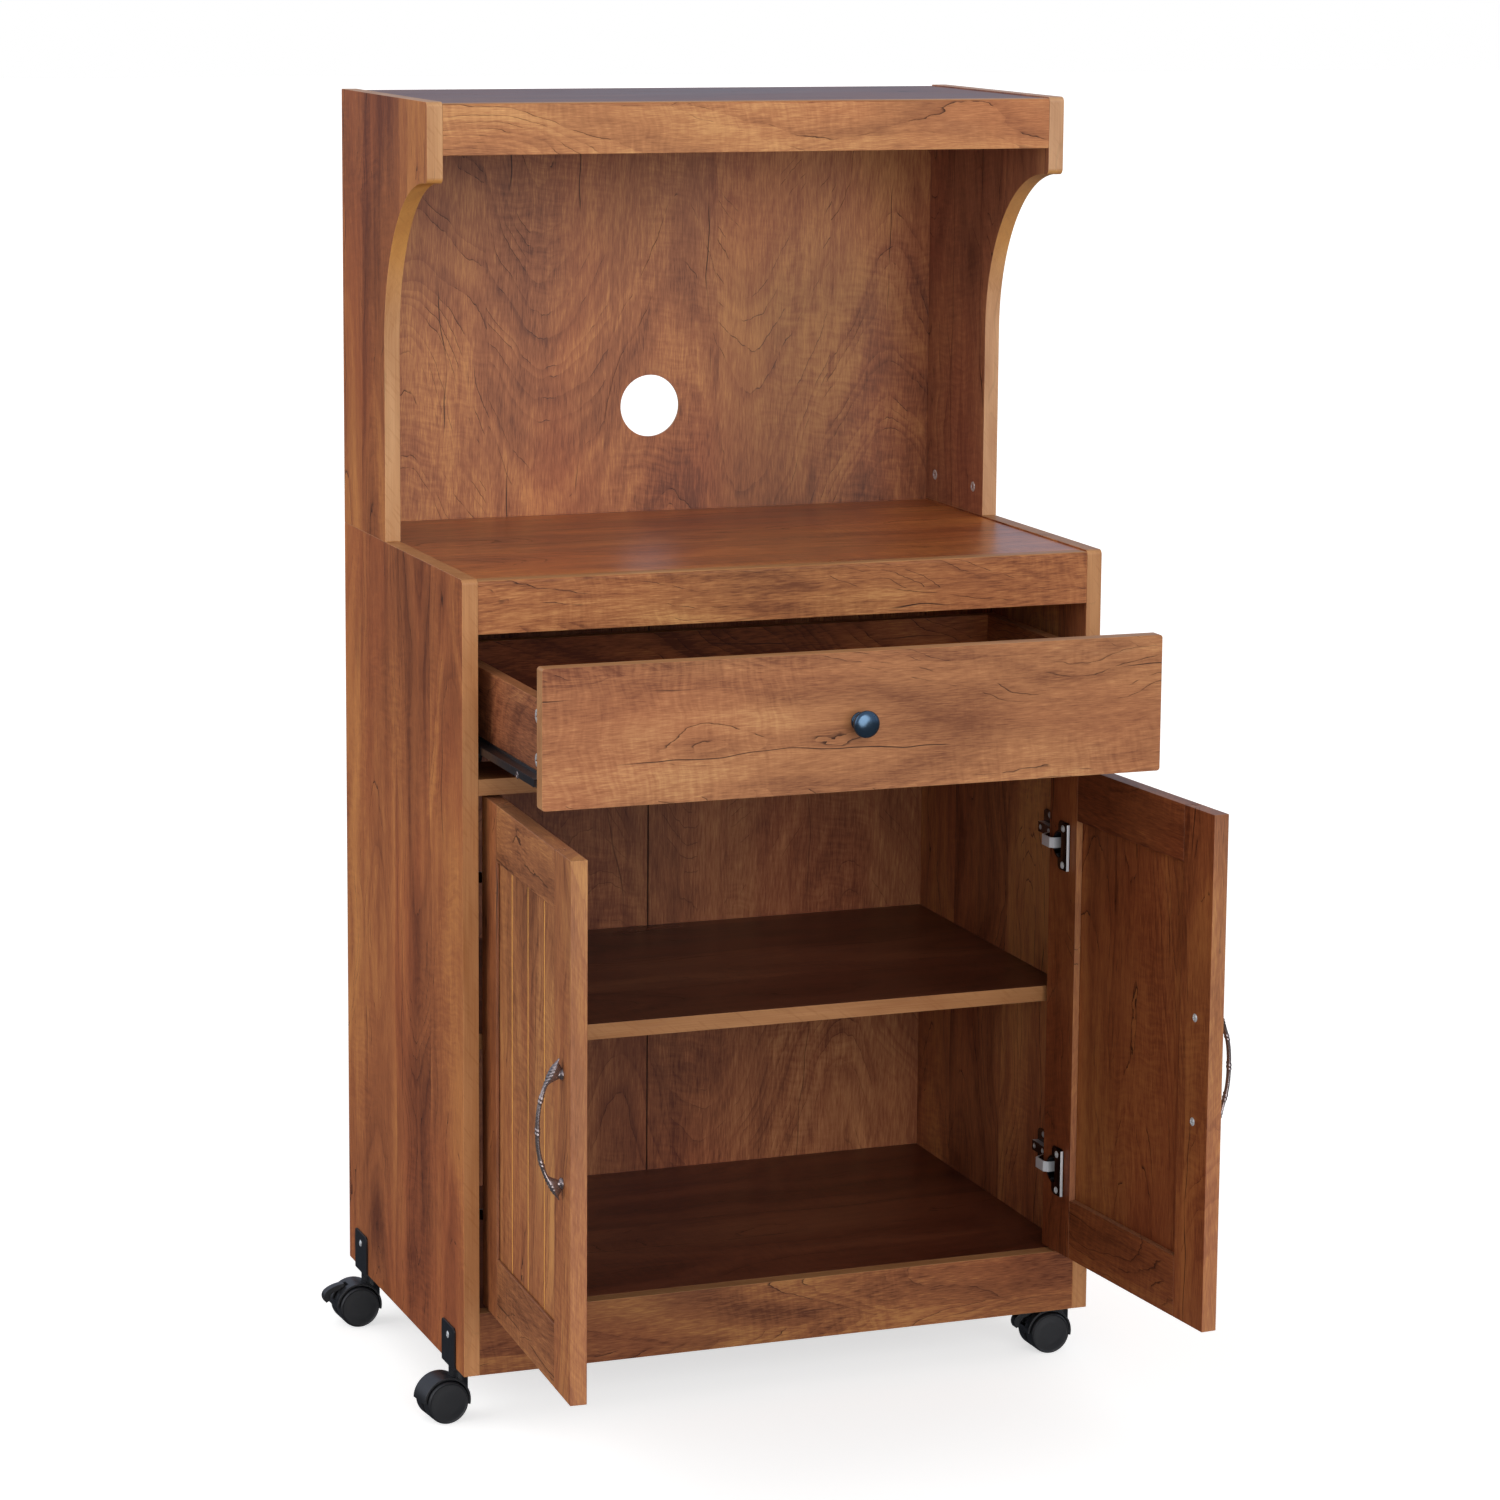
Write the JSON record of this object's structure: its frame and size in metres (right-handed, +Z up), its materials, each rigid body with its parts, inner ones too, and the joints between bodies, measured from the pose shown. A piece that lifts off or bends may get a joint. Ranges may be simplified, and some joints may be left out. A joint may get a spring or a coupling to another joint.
{
  "type": "microwave cart",
  "caption": "Rolling kitchen cabinet with a drawer over panelled doors, an open hutch with sweeping sides for a microwave, and swivel casters.",
  "frame": {"origin": "centre of the bounding box on the floor, with the doors and the drawer open as stored", "axes": "+Z up, -Y out of the cart's front, +X to the right as seen from the front"},
  "size_m": [0.6896, 0.6666, 1.205],
  "materials": {
    "case_wood": "satin dark cherry wood-grain foil on board",
    "door_wood": "satin warm brown wood-grain foil on board",
    "inside_wood": "satin dark wood-grain foil on board",
    "drawer_box_wood": "satin reddish wood-grain foil on board",
    "back_board": "printed hardboard",
    "runner_steel": "black enamel",
    "bracket_steel": "black enamel",
    "caster_plastic": "satin black moulded",
    "wheel_plastic": "black moulded",
    "hinge_steel": "bright nickel plate",
    "pull_metal": "antique pewter",
    "knob_metal": "dark polished"
  },
  "bodies": {
    "cabinet": {"base_side_left": "case_wood", "base_side_right": "case_wood", "countertop": "case_wood", "counter_rail": "case_wood", "drawer_divider": "case_wood", "plinth_rail": "case_wood", "bottom_panel": "inside_wood", "shelf": "inside_wood", "base_back": "back_board", "hutch_side_left": "case_wood", "hutch_side_right": "case_wood", "hutch_top": "case_wood", "hutch_top_rail": "case_wood", "hutch_back": "back_board", "hinge_arm_left_lower": "hinge_steel", "hinge_arm_left_upper": "hinge_steel", "hinge_arm_right_lower": "hinge_steel", "hinge_arm_right_upper": "hinge_steel", "cabinet_runner_left": "runner_steel", "cabinet_runner_right": "runner_steel", "caster_bracket_front_left": "bracket_steel", "caster_bracket_front_right": "bracket_steel", "caster_bracket_rear_left": "bracket_steel", "caster_bracket_rear_right": "bracket_steel"},
    "drawer": {"drawer_front": "door_wood", "drawer_side_left": "drawer_box_wood", "drawer_runner_left": "runner_steel", "drawer_side_right": "drawer_box_wood", "drawer_runner_right": "runner_steel", "drawer_back": "drawer_box_wood", "drawer_bottom": "inside_wood", "drawer_knob": "knob_metal"},
    "door_left": {"door_left_hinge_stile": "door_wood", "door_left_lock_stile": "door_wood", "door_left_bottom_rail": "door_wood", "door_left_top_rail": "door_wood", "door_left_panel": "door_wood", "door_left_pull": "pull_metal", "hinge_cup_left_lower": "hinge_steel", "hinge_cup_left_upper": "hinge_steel"},
    "door_right": {"door_right_hinge_stile": "door_wood", "door_right_lock_stile": "door_wood", "door_right_bottom_rail": "door_wood", "door_right_top_rail": "door_wood", "door_right_panel": "door_wood", "door_right_pull": "pull_metal", "hinge_cup_right_lower": "hinge_steel", "hinge_cup_right_upper": "hinge_steel"},
    "runner_roller_left": {"runner_roller_left": "caster_plastic"},
    "runner_roller_right": {"runner_roller_right": "caster_plastic"},
    "swivel_front_left": {"caster_housing_front_left": "caster_plastic"},
    "wheels_front_left": {"caster_wheels_front_left": "wheel_plastic"},
    "swivel_front_right": {"caster_housing_front_right": "caster_plastic"},
    "wheels_front_right": {"caster_wheels_front_right": "wheel_plastic"},
    "brake_front_right": {"brake_lever_front_right": "caster_plastic"},
    "swivel_rear_left": {"caster_housing_rear_left": "caster_plastic"},
    "wheels_rear_left": {"caster_wheels_rear_left": "wheel_plastic"},
    "brake_rear_left": {"brake_lever_rear_left": "caster_plastic"},
    "swivel_rear_right": {"caster_housing_rear_right": "caster_plastic"},
    "wheels_rear_right": {"caster_wheels_rear_right": "wheel_plastic"}
  },
  "joints": [
    {"name": "drawer_slide", "type": "slide", "parent": "cabinet", "child": "drawer", "axis": [0, -1, 0], "range_m": [-0.172, 0.09]},
    {"name": "door_left_hinge", "type": "hinge", "parent": "cabinet", "child": "door_left", "pos_m": [-0.27328, -0.0522, 0.3525], "axis": [0, 0, -1], "range_deg": [-92.5, 3.5]},
    {"name": "door_right_hinge", "type": "hinge", "parent": "cabinet", "child": "door_right", "pos_m": [0.29072, -0.0522, 0.3525], "axis": [0, 0, 1], "range_deg": [-95, 1]},
    {"name": "runner_roller_left_spin", "type": "hinge", "parent": "cabinet", "child": "runner_roller_left", "pos_m": [-0.28188, -0.0307, 0.6272], "axis": [1, 0, 0], "continuous": true},
    {"name": "runner_roller_right_spin", "type": "hinge", "parent": "cabinet", "child": "runner_roller_right", "pos_m": [0.29932, -0.0307, 0.6272], "axis": [1, 0, 0], "continuous": true},
    {"name": "caster_swivel_front_left", "type": "hinge", "parent": "cabinet", "child": "swivel_front_left", "pos_m": [-0.29528, -0.0137, 0.045], "axis": [0, 0, 1], "continuous": true},
    {"name": "caster_wheels_front_left_spin", "type": "hinge", "parent": "swivel_front_left", "child": "wheels_front_left", "pos_m": [-0.31119, -0.01537, 0.02], "axis": [-0.1045, 0.9945, 0], "continuous": true},
    {"name": "caster_swivel_front_right", "type": "hinge", "parent": "cabinet", "child": "swivel_front_right", "pos_m": [0.31272, -0.0137, 0.045], "axis": [0, 0, 1], "continuous": true},
    {"name": "caster_wheels_front_right_spin", "type": "hinge", "parent": "swivel_front_right", "child": "wheels_front_right", "pos_m": [0.29673, -0.01398, 0.02], "axis": [-0.0175, 0.9998, 0], "continuous": true},
    {"name": "brake_press_front_right", "type": "hinge", "parent": "swivel_front_right", "child": "brake_front_right", "pos_m": [0.28273, -0.01422, 0.03999], "axis": [-0.0175, 0.9998, 0], "range_deg": [-6, 0]},
    {"name": "caster_swivel_rear_left", "type": "hinge", "parent": "cabinet", "child": "swivel_rear_left", "pos_m": [-0.29528, 0.2833, 0.045], "axis": [0, 0, 1], "continuous": true},
    {"name": "caster_wheels_rear_left_spin", "type": "hinge", "parent": "swivel_rear_left", "child": "wheels_rear_left", "pos_m": [-0.31125, 0.28246, 0.02], "axis": [-0.0523, 0.9986, 0], "continuous": true},
    {"name": "brake_press_rear_left", "type": "hinge", "parent": "swivel_rear_left", "child": "brake_rear_left", "pos_m": [-0.32523, 0.28173, 0.03999], "axis": [-0.0523, 0.9986, 0], "range_deg": [-6, 0]},
    {"name": "caster_swivel_rear_right", "type": "hinge", "parent": "cabinet", "child": "swivel_rear_right", "pos_m": [0.31272, 0.2833, 0.045], "axis": [0, 0, 1], "continuous": true},
    {"name": "caster_wheels_rear_right_spin", "type": "hinge", "parent": "swivel_rear_right", "child": "wheels_rear_right", "pos_m": [0.29676, 0.28442, 0.02], "axis": [0.0698, 0.9976, 0], "continuous": true}
  ],
  "couplings": [
    {"joint": "runner_roller_left_spin", "follows": "drawer_slide", "rad_per_m": 111.11},
    {"joint": "runner_roller_right_spin", "follows": "drawer_slide", "rad_per_m": 111.11}
  ]
}
